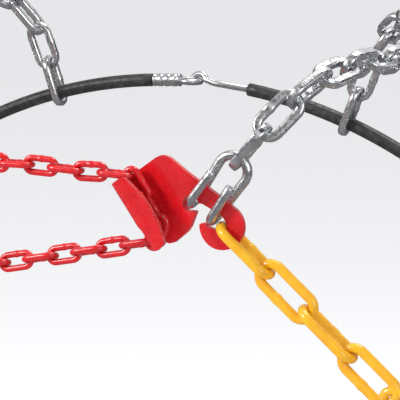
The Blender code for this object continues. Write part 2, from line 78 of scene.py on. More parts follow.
# The lock plate's own axes are f, down along its fold, and s, away from it.
PLATE_CORNER = Vector((0.0672, -0.1085, 0.2305))
PLATE_TURN = math.radians(34.6)
PLATE_THICK = 0.0025
PLATE_CELL = 0.0011
PLATE_S = Vector((math.cos(PLATE_TURN), 0, math.sin(PLATE_TURN)))
PLATE_F = Vector((math.sin(PLATE_TURN), 0, -math.cos(PLATE_TURN)))
FLAP_WIDTH, FLAP_BULGE, FLAP_CORNER = 0.0035, 0.0024, 0.0025
FOLD_RADIUS, FOLD_HEIGHT, VALLEY_WIDTH = 0.0035, 0.0122, 0.005
ARM_RISE, RISE_LENGTH = 0.00275, 0.014
FOLD_START, FOLD_END, EXIT_TOP = 0.0006, 0.0334, 0.0213
HEAD_CENTRE, HEAD_RADIUS = (0.0393, 0.0290), 0.0096
SLOT_CENTRE_S, SLOT_END_F, SLOT_RADIUS = 0.0287, 0.0415, 0.0030
HOOK_BAY, HOOK_BAY_RADIUS = (0.0245, 0.0228), 0.0034
BODY_EDGE = [(0.0281, 0.0228), (0.0285, 0.0229), (0.0289, 0.0226), (0.0306, 0.0196), (0.0322, 0.0167),
             (0.0331, 0.0140), (0.0334, 0.0110)]

# The double hooks.
HOOK_WIRE, HOOK_SPREAD, HOOK_TIP_SPREAD, HOOK_BOW = 0.0040, 0.0112, 0.0098, 0.0066
HOOK_LENGTH, PRONG_LENGTH, HOOK_BEND = 0.0273, 0.0175, 0.00375

# The net over the tire.
HOOKS = 12
SIDE_Y = -0.11125
SLOT_PLACE = PLATE_CORNER + PLATE_F * (SLOT_END_F - SIDE_WIRE / 2 - 2 * GAP) + PLATE_S * SLOT_CENTRE_S
SIDE_RADIUS = math.hypot(SLOT_PLACE.x, SLOT_PLACE.z)
SIDE_ANGLE = math.degrees(math.atan2(SLOT_PLACE.z, SLOT_PLACE.x))
SIDE_LINKS_PER_BAY = 5
SHOULDER = ((0.2674, 0.1075), (0.2860, 0.1095), (0.3000, 0.1045), (0.3105, 0.0935),
            (0.3170, 0.0780), (0.3195, 0.0550), (0.3200, 0.0))
JUNCTION = 2
FIRST_NODE_LEAD, LAST_NODE_LEAD, INNER_END_LAG = 2.5, 3.6, 6.0
RING_RADIUS, RING_WIRE = 0.0090, 0.0038
JUNCTION_RING_RADIUS = 0.0065
JUNCTION_DROP, JUNCTION_PROUD = 0.004, 0.0008
HOOK_STAND_OFF = 0.0046
UPPER_RUN_RADIUS, UPPER_RUN_ANGLE = 0.2405, 101
CABLE_RADIUS, CABLE_RING_RADIUS, CABLE_Y, CABLE_END_ANGLE = 0.0033, 0.2490, 0.1130, 6.0
FITTING_WIRE, EYE_RADIUS, EYE_PLACE = 0.0032, 0.0055, 0.0060
CABLE_HOOK_RADIUS, CABLE_HOOK_PLACE = 0.0042, 0.0010
END_HOOK_WIRE, END_HOOK_SHARE, END_HOOK_SLACK, END_HOOK_STEM = 0.0040, 0.15, 0.0015, 0.020


# ---------------------------------------------------------------- materials

class Nodes:
    """Short ways to add the nodes of one material."""

    def __init__(self, name):
        self.material = bpy.data.materials.new(name)
        self.material.use_nodes = True
        self.tree = self.material.node_tree
        self.shader = self.tree.nodes["Principled BSDF"]
        self.place = self.add("ShaderNodeTexCoord").outputs["Object"]

    def add(self, kind, **settings):
        node = self.tree.nodes.new(kind)
        for key, value in settings.items():
            setattr(node, key, value)
        return node

    def link(self, output, socket):
        self.tree.links.new(output, socket)

    def noise(self, scale, detail=4.0, roughness=0.55):
        node = self.add("ShaderNodeTexNoise")
        self.link(self.place, node.inputs["Vector"])
        node.inputs["Scale"].default_value = scale
        node.inputs["Detail"].default_value = detail
        node.inputs["Roughness"].default_value = roughness
        return node.outputs["Fac"]

    def wear(self):
        return self.add("ShaderNodeAttribute", attribute_name="wear").outputs["Fac"]

    def ramp(self, value, low, high, start=0.0, end=1.0):
        node = self.add("ShaderNodeMapRange", interpolation_type="SMOOTHSTEP")
        self.link(value, node.inputs["Value"])
        for key, number in zip(("From Min", "From Max", "To Min", "To Max"), (low, high, start, end)):
            node.inputs[key].default_value = number
        return node.outputs["Result"]

    def math(self, operation, a, b):
        node = self.add("ShaderNodeMath", operation=operation, use_clamp=True)
        for socket, value in zip(node.inputs, (a, b)):
            if isinstance(value, (int, float)):
                socket.default_value = value
            else:
                self.link(value, socket)
        return node.outputs[0]

    def mix(self, factor, a, b):
        node = self.add("ShaderNodeMix", data_type="RGBA")
        self.link(factor, node.inputs["Factor"])
        for socket, value in zip((node.inputs[6], node.inputs[7]), (a, b)):
            if isinstance(value, tuple):
                socket.default_value = (*value, 1)
            else:
                self.link(value, socket)
        return node.outputs[2]

    def set(self, **values):
        for key, value in values.items():
            self.shader.inputs[key.replace("_", " ")].default_value = value

    def drive(self, socket, output):
        self.link(output, self.shader.inputs[socket])

    def bump(self, height, strength, distance):
        node = self.add("ShaderNodeBump")
        node.inputs["Strength"].default_value = strength
        node.inputs["Distance"].default_value = distance
        self.link(height, node.inputs["Height"])
        self.link(node.outputs["Normal"], self.shader.inputs["Normal"])


def painted(name, colour, deep, bare, chips, roughness):
    """Thick gloss paint on steel. Chips show the metal where the mesh's wear is high."""
    m = Nodes(name)
    cloudy = m.ramp(m.noise(140), 0.35, 0.7)
    grime = m.ramp(m.noise(900, 6), 0.52, 0.78)
    chipped = m.math("MULTIPLY", m.ramp(m.noise(1500, 5, 0.7), 0.60 - chips, 0.63 - chips), m.wear())
    chipped = m.ramp(chipped, 0.35, 0.55)
    paint = m.mix(cloudy, colour, deep)
    paint = m.mix(m.math("MULTIPLY", grime, 0.25), paint, tuple(part * 0.55 for part in deep))
    m.drive("Base Color", m.mix(chipped, paint, bare))
    m.drive("Roughness", m.ramp(m.noise(420, 5), 0.3, 0.75, roughness, roughness + 0.14))
    m.drive("Metallic", m.math("MULTIPLY", chipped, 0.9))
    m.set(Coat_Weight=0.35, Coat_Roughness=0.10, Specular_IOR_Level=0.5)
    relief = m.math("ADD", m.math("MULTIPLY", m.noise(700, 3), 0.6), m.math("MULTIPLY", chipped, -0.5))
    m.bump(relief, 0.35, 0.00012)
    return m.material


def zinc_plated(name, bright, dull, roughness, hammered):
    """Bright zinc on steel, a little uneven, duller in its hollows and where it rubs."""
    m = Nodes(name)
    cloudy = m.ramp(m.noise(260, 5), 0.35, 0.68)
    streaks = m.ramp(m.noise(1700, 6, 0.7), 0.5, 0.72)
    colour = m.mix(cloudy, bright, dull)
    colour = m.mix(m.math("MULTIPLY", streaks, 0.35), colour, tuple(part * 0.5 for part in dull))
    m.drive("Base Color", m.mix(m.math("MULTIPLY", m.wear(), 0.5), colour, (0.42, 0.43, 0.45)))
    m.set(Metallic=1.0)
    m.drive("Roughness", m.ramp(m.noise(600, 5), 0.3, 0.75, roughness, roughness + 0.2))
    m.bump(m.math("ADD", m.noise(420, 3), m.math("MULTIPLY", m.noise(2400, 4), 0.25)), hammered, 0.0003)
    return m.material


RED = painted("red_paint", (0.66, 0.008, 0.014), (0.56, 0.005, 0.010), (0.62, 0.60, 0.60), 0.02, 0.24)
# The plate's cut edges: a lighter red that is a painted highlight along the rounded edge, and more chips, which
# are real wear.
RED_EDGE_WORN_AND_HIGHLIT = painted("red_paint_worn_and_highlit_edge", (0.72, 0.03, 0.03), (0.58, 0.01, 0.014), (0.78, 0.74, 0.74),
                   0.09, 0.30)
YELLOW = painted("yellow_coating", (0.90, 0.47, 0.012), (0.82, 0.38, 0.008), (0.60, 0.58, 0.55), 0.01, 0.27)
ZINC = zinc_plated("zinc_square_wire", (0.88, 0.89, 0.90), (0.72, 0.73, 0.75), 0.19, 0.11)
HOOK_ZINC = zinc_plated("zinc_round_wire", (0.84, 0.85, 0.86), (0.68, 0.69, 0.71), 0.20, 0.08)
CABLE_ZINC = zinc_plated("zinc_fitting", (0.66, 0.67, 0.68), (0.50, 0.51, 0.53), 0.28, 0.15)


def coated_cable():
    """Dull black plastic over the inner cable, a little scuffed."""
    m = Nodes("cable_coating")
    scuffs = m.ramp(m.noise(300, 5), 0.4, 0.7)
    m.drive("Base Color", m.mix(scuffs, (0.018, 0.018, 0.02), (0.045, 0.045, 0.048)))
    m.drive("Roughness", m.ramp(m.noise(500, 4), 0.3, 0.7, 0.38, 0.58))
    m.bump(m.noise(900, 4), 0.3, 0.0002)
    return m.material


CABLE = coated_cable()


# ---------------------------------------------------------------- swept wires

def ring_section(sides, square):
    """Unit section of the wire, round or a rounded square with its flats along the axes."""
    angles = (np.arange(sides) + 0.5) * 2 * math.pi / sides
    c, s = np.cos(angles), np.sin(angles)
    if square:
        power = 7.0
        size = (np.abs(c) ** power + np.abs(s) ** power) ** (-1 / power)
        c, s = c * size, s * size
    return np.stack([c, s], 1)


def sweep(centres, across, up, radii, section, closed, wear=None):
    """Vertices, quads and wear of a wire swept along its centres. 'across' and 'up' span each section."""
    rows, sides = len(centres), len(section)
    verts = (centres[:, None] + radii[:, None, None] * (section[None, :, :1] * across[:, None]
                                                       + section[None, :, 1:] * up[:, None])).reshape(-1, 3)
    faces = []
    last = rows if closed else rows - 1
    for row in range(last):
        after = (row + 1) % rows
        for side in range(sides):
            beside = (side + 1) % sides
            here, there = row * sides, after * sides
            faces.append((here + side, here + beside, there + beside, there + side))
    if not closed:
        faces.append(tuple(range(sides))[::-1])
        faces.append(tuple((rows - 1) * sides + side for side in range(sides)))
    worn = np.zeros(rows) if wear is None else wear
    return verts, faces, np.repeat(worn, sides)


def link_shape(length, width, wire, square=False, fine=True, seed=0):
    """A closed link in its own plane: X along it, Y across it. 'length' is between the wire's centres."""
    bow = (width - wire) / 2
    half = length / 2 - bow
    arc_steps, sides, leg_steps = (14, 20, 5) if fine else (6, 10, 2)
    weld_place = half * 0.10 * math.sin(seed * 2.3)
    weld_size = wire * 0.34
    marks = weld_size * np.array([-2.6, -1.7, -1.1, -0.7, -0.35, 0, 0.35, 0.7, 1.1, 1.7, 2.6])
    if not fine:
        marks = weld_size * np.array([-1.4, -0.5, 0.5, 1.4])
    marks = marks + weld_place
    marks = marks[np.abs(marks) < half * 0.95]
    plain = np.linspace(-half, half, leg_steps + 2)[1:-1]
    plain = plain[np.abs(plain - weld_place) > 3.0 * weld_size]
    weld_leg = np.sort(np.concatenate([plain, marks]))
    points, outward, weld, wear = [], [], [], []

    def put(x, y, nx, ny, bead, worn):
        points.append((x, y, 0))
        outward.append((nx, ny, 0))
        weld.append(bead)
        wear.append(worn)

    for step in range(arc_steps + 1):
        angle = -math.pi / 2 + math.pi * step / arc_steps
        put(half + bow * math.cos(angle), bow * math.sin(angle), math.cos(angle), math.sin(angle), 0,
            math.cos(angle) ** 4)
    for x in np.linspace(half, -half, leg_steps + 2)[1:-1]:
        put(x, bow, 0, 1, 0, 0.05)
    for step in range(arc_steps + 1):
        angle = math.pi / 2 + math.pi * step / arc_steps
        put(-half + bow * math.cos(angle), bow * math.sin(angle), math.cos(angle), math.sin(angle), 0,
            math.cos(angle) ** 4)
    for x in weld_leg:
        off = (x - weld_place) / weld_size
        bead = math.exp(-off * off * off * off) - 0.2 * math.exp(-((abs(off) - 1.7) / 0.4) ** 2)
        put(x, -bow, 0, -1, bead, 0.25)
    centres, across = np.array(points), np.array(outward)
    up = np.tile(np.array([0.0, 0.0, 1.0]), (len(centres), 1))
    radii = wire / 2 * (1 + WELD_SWELL * np.array(weld))
    return sweep(centres, across, up, radii, ring_section(sides, square), True, np.array(wear))


def add_mesh(name, shapes, material, smooth=True):
    """One object from (vertices, faces, wear) shapes."""
    verts, faces, wear, count = [], [], [], 0
    for points, quads, worn in shapes:
        verts.append(points)
        wear.append(worn)
        faces.extend([tuple(index + count for index in quad) for quad in quads])
        count += len(points)
    mesh = bpy.data.meshes.new(name)
    mesh.from_pydata(np.concatenate(verts).tolist(), [], faces)
    attribute = mesh.attributes.new("wear", "FLOAT", "POINT")
    attribute.data.foreach_set("value", np.concatenate(wear).astype(np.float32))
    mesh.materials.append(material)
    mesh.polygons.foreach_set("use_smooth", [smooth] * len(mesh.polygons))
    mesh.update()
    obj = bpy.data.objects.new(name, mesh)
    bpy.context.scene.collection.objects.link(obj)
    # A placed shape can be wound either way, so its faces are turned to look out.
    shell = bmesh.new()
    shell.from_mesh(mesh)
    bmesh.ops.recalc_face_normals(shell, faces=shell.faces)
    shell.to_mesh(mesh)
    shell.free()
    return obj


def placed(shape, origin, along, side):
    """A shape moved so that its X lies along 'along' and its Y along 'side'."""
    verts, faces, wear = shape
    along, side = Vector(along).normalized(), Vector(side).normalized()
    turn = np.array([along, side, along.cross(side)])
    return verts @ turn + np.array(origin), faces, wear


def settle(obj, slot, *nodes):
    """The piece stands for these CAD nodes and rides on their body."""
    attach(obj, BODY_OF[nodes[0]])
    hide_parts(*nodes)


# ---------------------------------------------------------------- single links, where the CAD has them

def link_place(node):
    """Centre, length between wire centres, along and side of a CAD link, from its vertices."""
    mesh = NODES[node].data
    points = np.empty(len(mesh.vertices) * 3)
    mesh.vertices.foreach_get("co", points)
    points = np.unique(np.round(points.reshape(-1, 3), 6), axis=0)
    mean = points.mean(0)
    _, axes = np.linalg.eigh(np.cov((points - mean).T))
    along, side = axes[:, 2], axes[:, 1]
    reach = (points - mean) @ along
    centre = mean + along * (reach.max() + reach.min()) / 2
    spread = (points - mean) @ side
    centre = centre + side * (spread.max() + spread.min()) / 2
    return Vector(centre), reach.max() - reach.min(), Vector(along), Vector(side)


def single_links(prefix, count, wire, width, material, slot, square=False):
    """A finely made link in the place of each of the CAD's own links."""
    for number in range(1, count + 1):
        node = f"{prefix}_{number}"
        centre, outer, along, side = link_place(node)
        if along.x < 0:
            along = -along
        if side.dot(OUT) < 0 or (abs(side.dot(OUT)) < 0.3 and side.z > 0):
            side = -side
        shape = link_shape(outer - wire, width, wire, square, True, number)
        piece = add_mesh(f"{node}_finished", [placed(shape, centre, along, side)], material)
        settle(piece, slot, node)


# ---------------------------------------------------------------- lock plate

def on_plate(f, s, out):
    """A place given along the plate's fold, away from it, and out of the wheel."""
    return PLATE_CORNER + PLATE_F * f + PLATE_S * s + OUT * out


def arc_points(f, s, radius, start, end, steps):
    """Points of an arc about (f, s), its angles in degrees."""
    angles = [math.radians(start + (end - start) * step / steps) for step in range(steps + 1)]
    return [(f + radius * math.cos(angle), s + radius * math.sin(angle)) for angle in angles]


def bent(length):
    """Where a length along the flat blank ends up once folded: s and out, at mid-sheet."""
    quarter = math.pi / 2 * FOLD_RADIUS
    web = FOLD_HEIGHT - 2 * FOLD_RADIUS
    valley_s = PLATE_THICK / 2 + FOLD_RADIUS
    if length < FLAP_WIDTH:
        return valley_s + FLAP_WIDTH - length, FOLD_HEIGHT
    length -= FLAP_WIDTH
    if length < quarter:
        angle = length / FOLD_RADIUS
        return valley_s - FOLD_RADIUS * math.sin(angle), FOLD_HEIGHT - FOLD_RADIUS * (1 - math.cos(angle))
    length -= quarter
    if length < web:
        return valley_s - FOLD_RADIUS, FOLD_HEIGHT - FOLD_RADIUS - length
    length -= web
    if length < quarter:
        angle = length / FOLD_RADIUS
        return valley_s - FOLD_RADIUS * math.cos(angle), FOLD_RADIUS * (1 - math.sin(angle))
    length -= quarter
    share = min(max((length - VALLEY_WIDTH) / RISE_LENGTH, 0), 1)
    return valley_s + length, ARM_RISE * share * share * (3 - 2 * share)


def plate_outline():
    """The flat blank, from the head round to the flap's bowed free edge."""
    quarter = math.pi / 2 * FOLD_RADIUS
    valley_length = FLAP_WIDTH + 2 * quarter + FOLD_HEIGHT - 2 * FOLD_RADIUS
    valley_s = PLATE_THICK / 2 + FOLD_RADIUS
    body = arc_points(0.0072, 0.0200, 0.0064, 180, 115, 10)
    body += [(0.0127, 0.0287), (0.0185, 0.0310), (0.0235, 0.0332), (0.0283, 0.0352)]
    body += arc_points(*HEAD_CENTRE, HEAD_RADIUS, 105, -128, 40)
    body += arc_points(0.0352, 0.0222, 0.0015, -160, -290, 9)
    body += arc_points(SLOT_END_F - SLOT_RADIUS, SLOT_CENTRE_S, SLOT_RADIUS, -90, 90, 16)
    body += [(0.0345, 0.0316), (0.0333, 0.0308), (0.0320, 0.0298), (0.0296, 0.0284), (0.0272, 0.0271)]
    body += arc_points(*HOOK_BAY, HOOK_BAY_RADIUS, 60, 300, 24)
    body += BODY_EDGE
    outline = [(f, valley_length + s - valley_s) for f, s in body]
    lip = FLAP_WIDTH + 0.45 * quarter
    far_lip = valley_length - 0.4 * quarter
    outline += [(FOLD_END + 0.0004, far_lip + 0.004), (FOLD_END - 0.0006, far_lip + 0.0012),
                (FOLD_END - 0.002, far_lip)]
    outline += [(EXIT_TOP + 0.002, far_lip), (EXIT_TOP + 0.0006, far_lip - 0.0006),
                (EXIT_TOP, far_lip - 0.002)]
    outline += [(EXIT_TOP, lip + 0.002), (EXIT_TOP + 0.0006, lip + 0.0006), (EXIT_TOP + 0.002, lip)]
    outline += [(FOLD_END - 0.0015, lip), (FOLD_END - 0.0004, lip - 0.0004), (FOLD_END, lip - 0.0015)]
    outline += arc_points(FOLD_END - FLAP_CORNER, FLAP_CORNER, FLAP_CORNER, 0, -90, 8)
    for step in range(1, 18):
        f = FOLD_END - FLAP_CORNER + (FOLD_START + 2 * FLAP_CORNER - FOLD_END) * step / 18
        outline.append((f, -FLAP_BULGE * math.sin(math.pi * step / 18)))
    outline += arc_points(FOLD_START + FLAP_CORNER, FLAP_CORNER, FLAP_CORNER, 270, 180, 8)
    return outline


def lock_plate():
    """The CAD's blank, finely divided, bent, thickened and with its cut edges rounded."""
    curve = bpy.data.curves.new("plate_blank", "CURVE")
    curve.dimensions = "2D"
    curve.fill_mode = "BOTH"
    spline = curve.splines.new("POLY")
    outline = plate_outline()
    spline.points.add(len(outline) - 1)
    for point, place in zip(spline.points, outline):
        point.co = (*place, 0, 1)
    spline.use_cyclic_u = True
    blank = bpy.data.objects.new("plate_blank", curve)
    bpy.context.scene.collection.objects.link(blank)
    bpy.context.view_layer.update()
    mesh = bpy.data.meshes.new_from_object(blank.evaluated_get(bpy.context.evaluated_depsgraph_get()))
    bpy.data.objects.remove(blank, do_unlink=True)
    mesh.name = "lock_plate_finished"
    mesh.materials.clear()
    sheet = bmesh.new()
    sheet.from_mesh(mesh)
    bmesh.ops.remove_doubles(sheet, verts=sheet.verts, dist=1e-6)
    for axis, span in ((0, 0.050), (1, 0.058)):
        normal = Vector((axis == 0, axis == 1, 0))
        for number in range(-3, int(span / PLATE_CELL) + 1):
            everything = sheet.verts[:] + sheet.edges[:] + sheet.faces[:]
            cut = normal * (number + 0.37) * PLATE_CELL
            bmesh.ops.bisect_plane(sheet, geom=everything, dist=1e-6, plane_co=cut, plane_no=normal)
    worn = []
    for vert in sheet.verts:
        from_edge = vert.co.y + FLAP_BULGE * math.sin(math.pi * min(max(vert.co.x / FOLD_END, 0), 1))
        worn.append(math.exp(-max(from_edge, 0) / 0.0009) * 0.95)
        s, out = bent(vert.co.y)
        vert.co = on_plate(vert.co.x, s, out)
    bmesh.ops.recalc_face_normals(sheet, faces=sheet.faces)
    if sum(face.normal.dot(OUT) for face in sheet.faces if face.calc_center_median().y > -0.1125) < 0:
        bmesh.ops.reverse_faces(sheet, faces=sheet.faces)
    sheet.to_mesh(mesh)
    sheet.free()
    mesh.materials.append(RED)
    mesh.materials.append(RED_EDGE_WORN_AND_HIGHLIT)
    wear = mesh.attributes.new("wear", "FLOAT", "POINT")
    wear.data.foreach_set("value", np.array(worn, np.float32))
    plate = bpy.data.objects.new("lock_plate_finished", mesh)
    bpy.context.scene.collection.objects.link(plate)
    solid = plate.modifiers.new("Sheet", "SOLIDIFY")
    solid.thickness = PLATE_THICK
    solid.offset = 0
    solid.use_even_offset = True
    # The rim faces take the lighter edge paint: a painted highlight along the cut edges, with real chips.
    solid.material_offset_rim = 1
    edge = plate.modifiers.new("Rounded edges", "BEVEL")
    edge.width = 0.00055
    edge.segments = 3
    edge.limit_method = "ANGLE"
    edge.angle_limit = math.radians(50)
    mesh.polygons.foreach_set("use_smooth", [True] * len(mesh.polygons))
    even = plate.modifiers.new("Even shading", "WEIGHTED_NORMAL")
    even.keep_sharp = True
    settle(plate, "red_paint", "lock_plate")


# ---------------------------------------------------------------- double hooks

def path_wire(points, radius, sides=20, closed=False, flat_ends=True):
    """A round wire along 3D points, its sections carried along without twist."""
    points = [Vector(point) for point in points]
    tangents = []
    count = len(points)
    for index in range(count):
        if closed:
            step = points[(index + 1) % count] - points[index - 1]
        else:
            step = points[min(index + 1, count - 1)] - points[max(index - 1, 0)]
        tangents.append(step.normalized())
    side = tangents[0].orthogonal().normalized()
    sides_along = [side]
    for before, after in zip(tangents, tangents[1:]):
        side = before.rotation_difference(after) @ side
        sides_along.append((side - after * side.dot(after)).normalized())
    centres = np.array([tuple(point) for point in points])
    across = np.array([tuple(side) for side in sides_along])
    up = np.array([tuple(t.cross(s)) for t, s in zip(tangents, sides_along)])
    radii = np.full(count, radius)
    if flat_ends and not closed:
        inset = radius * 0.16
        first, last = points[0], points[-1]
        extra = [tuple(first + tangents[0] * inset), tuple(last - tangents[-1] * inset)]
        centres = np.insert(centres, 1, extra[0], 0)
        centres = np.insert(centres, len(centres) - 1, extra[1], 0)
        across = np.insert(np.insert(across, 1, across[0], 0), len(across), across[-1], 0)
        up = np.insert(np.insert(up, 1, up[0], 0), len(up), up[-1], 0)
        radii = np.full(len(centres), radius)
        radii[0] = radii[-1] = radius - inset
    return sweep(centres, across, up, radii, ring_section(sides, False), closed, np.full(len(centres), 0.15))


def double_hook_path(origin, up, across):
    """A U whose two legs turn forward into prongs. 'origin' is midway between the bends' centres."""
    origin, up, across = Vector(origin), Vector(up).normalized(), Vector(across).normalized()
    back = -OUT

    def half(sign):
        start = origin + across * HOOK_SPREAD / 2 * sign
        tip = origin + across * HOOK_TIP_SPREAD / 2 * sign
        tip = tip + up * (PRONG_LENGTH - HOOK_BEND) - back * HOOK_BEND
        points = [tip.lerp(start - back * HOOK_BEND, share) for share in (0, 0.25, 0.5, 0.75)]
        for step in range(17):
            angle = math.pi * step / 16
            points.append(start + HOOK_BEND * (-math.cos(angle) * back - math.sin(angle) * up))
        bow = origin + up * (HOOK_LENGTH - HOOK_BEND - HOOK_BOW) + back * HOOK_BEND
        side = bow + across * HOOK_BOW * sign
        points += [points[-1].lerp(side, share) for share in (0.33, 0.67)]
        for step in range(13):
            angle = math.pi / 2 * step / 12
            points.append(bow + HOOK_BOW * (math.cos(angle) * across * sign + math.sin(angle) * up))
        return points

    return half(-1) + half(1)[-2::-1]


def plate_hook():
    """The double hook at the lock plate, placed by its joint."""
    joint = next(joint for joint in frame["joints"] if joint["child"] == "double_hook")
    across = Vector(joint["axis"])
    if across.z > 0:
        across = -across
    up = OUT.cross(across)
    if up.z < 0:
        up = -up
    shape = path_wire(double_hook_path(joint["pos_m"], up, across), HOOK_WIRE / 2, 24)
    piece = add_mesh("double_hook_finished", [shape], HOOK_ZINC)
    settle(piece, "zinc_plate", "double_hook")


# ---------------------------------------------------------------- runs of links

def on_wheel(radius, angle, y):
    """A place given by its distance and angle in degrees about the axle."""
    return Vector((radius * math.cos(math.radians(angle)), y, radius * math.sin(math.radians(angle))))


def fine_path(corners, step=0.0004):
    """Closely spaced points along straight stretches between the corners."""
    points = []
    for a, b in zip(corners, corners[1:]):
        count = max(2, int((b - a).length / step))
        points += [tuple(a.lerp(b, number / count)) for number in range(count)]
    points.append(tuple(corners[-1]))
    return np.array(points)


def softened(points, width, keep_ends=True):
    """The path with its corners eased, by a moving average over 'width' points."""
    kernel = np.ones(width) / width
    before, after = np.repeat(points[:1], width // 2, 0), np.repeat(points[-1:], width // 2, 0)
    padded = np.concatenate([before, points, after])
    eased = np.stack([np.convolve(padded[:, axis], kernel, "valid")[:len(points)] for axis in range(3)], 1)
    if keep_ends:
        eased[0], eased[-1] = points[0], points[-1]
    return eased


def walk(points, steps):
    """Points on the path, each a straight step from the one before, or None if the path ends first."""
    found, place = [points[0]], 0
    for step in steps:
        away = np.linalg.norm(points[place:] - found[-1], axis=1)
        past = np.nonzero(away >= step)[0]
        if len(past) == 0:
            return None
        place += past[0]
        found.append(points[place])
    return found


def spaced(count, pitch, reach, wraps_first):
    """Steps between meetings. A link that wraps its neighbours' wires has the shorter step."""
    return [pitch - reach if (number % 2 == 0) == wraps_first else pitch + reach for number in range(count)]


def filled(points, count, reach, wraps_first, low, high, halvings=30):
    """The path's meetings at the widest pitch between 'low' and 'high' that still fits 'count' links."""
    for _ in range(halvings):
        middle = (low + high) / 2
        if walk(points, spaced(count, middle, reach, wraps_first)) is None:
            high = middle
        else:
            low = middle
    return walk(points, spaced(count, low, reach, wraps_first))


def fitted_walk(points, pitch, reach, odd=True):
    """Meetings that fill the path exactly with an odd number of links, first and last wrapping."""
    total = np.linalg.norm(np.diff(points, axis=0), axis=1).sum()
    count = max(1, int(round((total + reach) / pitch)))
    if odd and count % 2 == 0:
        count += 1 if (total + reach) / pitch > count else -1
    return filled(points, count, reach, True, 0.3 * pitch, 3 * pitch, 28)


def run_of_links(meetings, wraps_first, wire, width, face, ends, square=False, fine=False, roll=0.0, seed=0):
    """Links between meetings. face(start, end) looks out of the tire, and 'ends' are the wires gripped."""
    shapes = []
    count = len(meetings) - 1
    for number in range(count):
        start, end = Vector(meetings[number]), Vector(meetings[number + 1])
        wraps = (number % 2 == 0) == wraps_first
        reach_start = (wire + (ends[0] if number == 0 else wire)) / 2 + GAP if wraps else 0
        reach_end = (wire + (ends[1] if number == count - 1 else wire)) / 2 + GAP if wraps else 0
        along = (end - start).normalized()
        out = face(start, end)
        side = out.cross(along).normalized()
        turn = math.radians(roll + (90 if wraps else 0))
        side = Matrix.Rotation(turn, 3, along) @ side
        length = (end - start).length + reach_start + reach_end
        centre = (start + end) / 2 + along * (reach_end - reach_start) / 2
        shape = link_shape(length, width, wire, square, fine, seed + number)
        shapes.append(placed(shape, centre, along, side))
    return shapes


def over_tire_face(start, end):
    """The way out of the tire, square to the run."""
    middle = (start + end) / 2
    return Vector((middle.x, 0, middle.z)).cross(OUT).cross(end - start)


def outward(_start, _end):
    """The side chain and the tension chain face straight out of the wheel."""
    return OUT


def ring_shape(centre, normal, radius, wire):
    """A round ring lying flat on the tire."""
    normal = Vector(normal).normalized()
    side = normal.orthogonal().normalized()
    other = normal.cross(side)
    count = 28
    angles = [2 * math.pi * number / count for number in range(count)]
    points = [Vector(centre) + radius * (math.cos(a) * side + math.sin(a) * other) for a in angles]
    return path_wire(points, wire / 2, 12, True)


# ---------------------------------------------------------------- the net

BAY = 2 * math.degrees(math.asin(SIDE_LINKS_PER_BAY * SIDE_PITCH / 2 / SIDE_RADIUS))
HOOK_ANGLES = [SIDE_ANGLE - BAY * number for number in range(HOOKS)]
NODE_ANGLES = [HOOK_ANGLES[0] - FIRST_NODE_LEAD]
NODE_ANGLES += [angle - BAY / 2 for angle in HOOK_ANGLES[1:-2]]
NODE_ANGLES += [HOOK_ANGLES[-1] + LAST_NODE_LEAD]


def over_tire(start_angle, end_angle, first, side):
    """Corners of a cross chain's path from SHOULDER's row 'first' to the tread's middle."""
    rows = SHOULDER[first:]
    gone = [0.0]
    for (r0, y0), (r1, y1) in zip(rows, rows[1:]):
        gone.append(gone[-1] + math.hypot(r1 - r0, y1 - y0))
    corners = []
    for number in range(len(rows) - 1):
        pieces = 8
        for piece in range(pieces):
            share = piece / pieces
            radius = rows[number][0] + (rows[number + 1][0] - rows[number][0]) * share
            y = rows[number][1] + (rows[number + 1][1] - rows[number][1]) * share
            turn = (gone[number] + (gone[number + 1] - gone[number]) * share) / gone[-1]
            corners.append(on_wheel(radius, start_angle + (end_angle - start_angle) * turn, side * y))
    corners.append(on_wheel(rows[-1][0], end_angle, 0))
    return corners


def between_rings(points, start_reach, end_reach):
    """The stretch of a path from one ring's wire to the other's."""
    from_start = np.linalg.norm(points - points[0], axis=1)
    from_end = np.linalg.norm(points - points[-1], axis=1)
    keep = (from_start >= start_reach) & (from_end >= end_reach)
    return points[keep]


